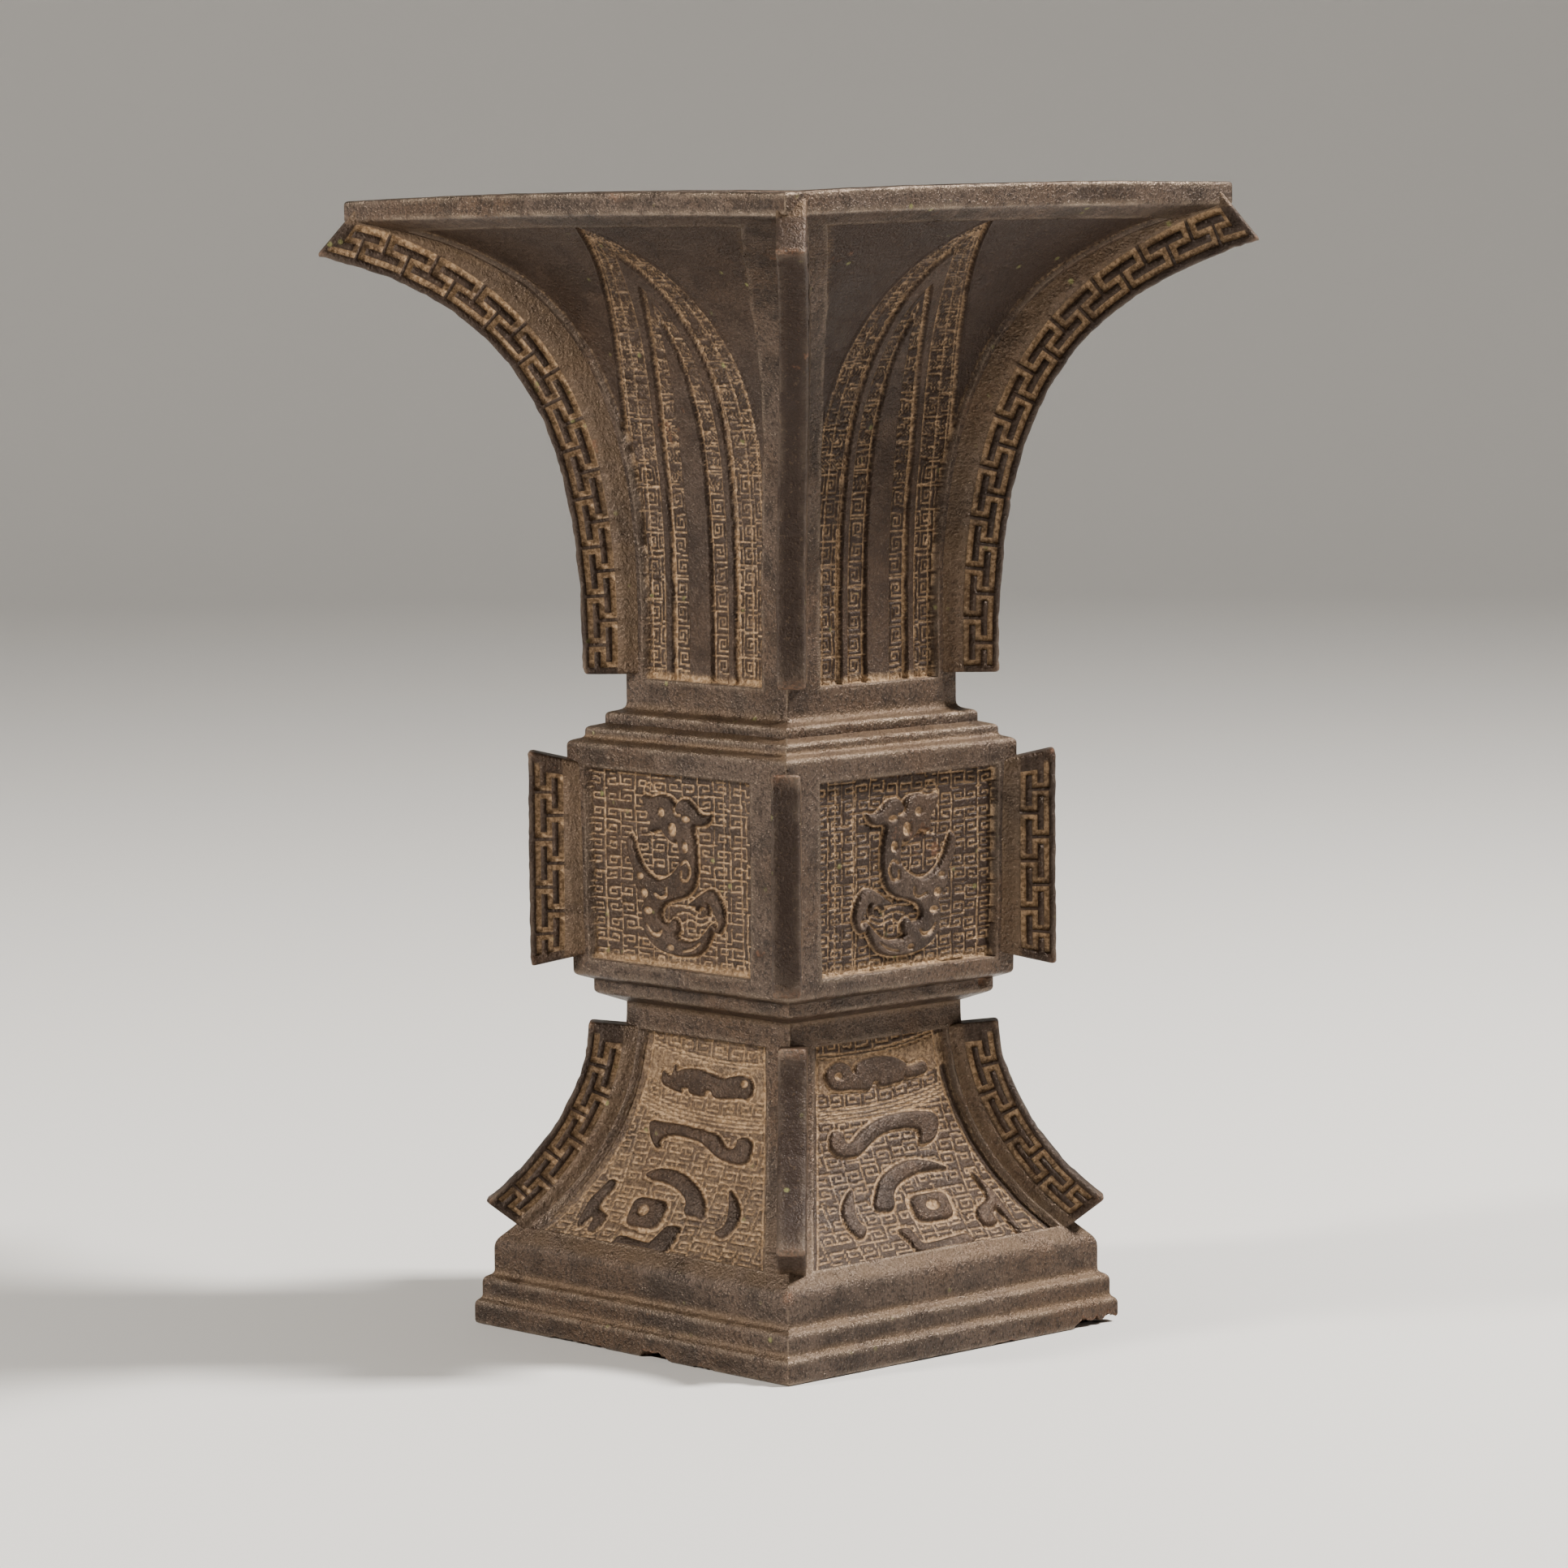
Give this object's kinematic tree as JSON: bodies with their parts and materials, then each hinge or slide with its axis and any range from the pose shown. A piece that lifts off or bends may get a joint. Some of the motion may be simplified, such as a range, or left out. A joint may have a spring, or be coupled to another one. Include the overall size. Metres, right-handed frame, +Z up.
{
  "type": "square gu vase",
  "caption": "Square flared bronze gu: trumpet neck, square belly and flared open foot, with fretted corner flanges and cast relief.",
  "frame": {"origin": "centre of the underside of the foot ring, on the axis of the vase", "axes": "+Z up along the axis, the flat sides face X and Y, the flanged corners point along the diagonals"},
  "size_m": [0.1558, 0.1558, 0.26],
  "materials": {
    "bronze": "aged cast bronze, brown patina with ochre deposits, semi-matte"
  },
  "bodies": {
    "root": {"gu_vase": "bronze"}
  },
  "joints": []
}
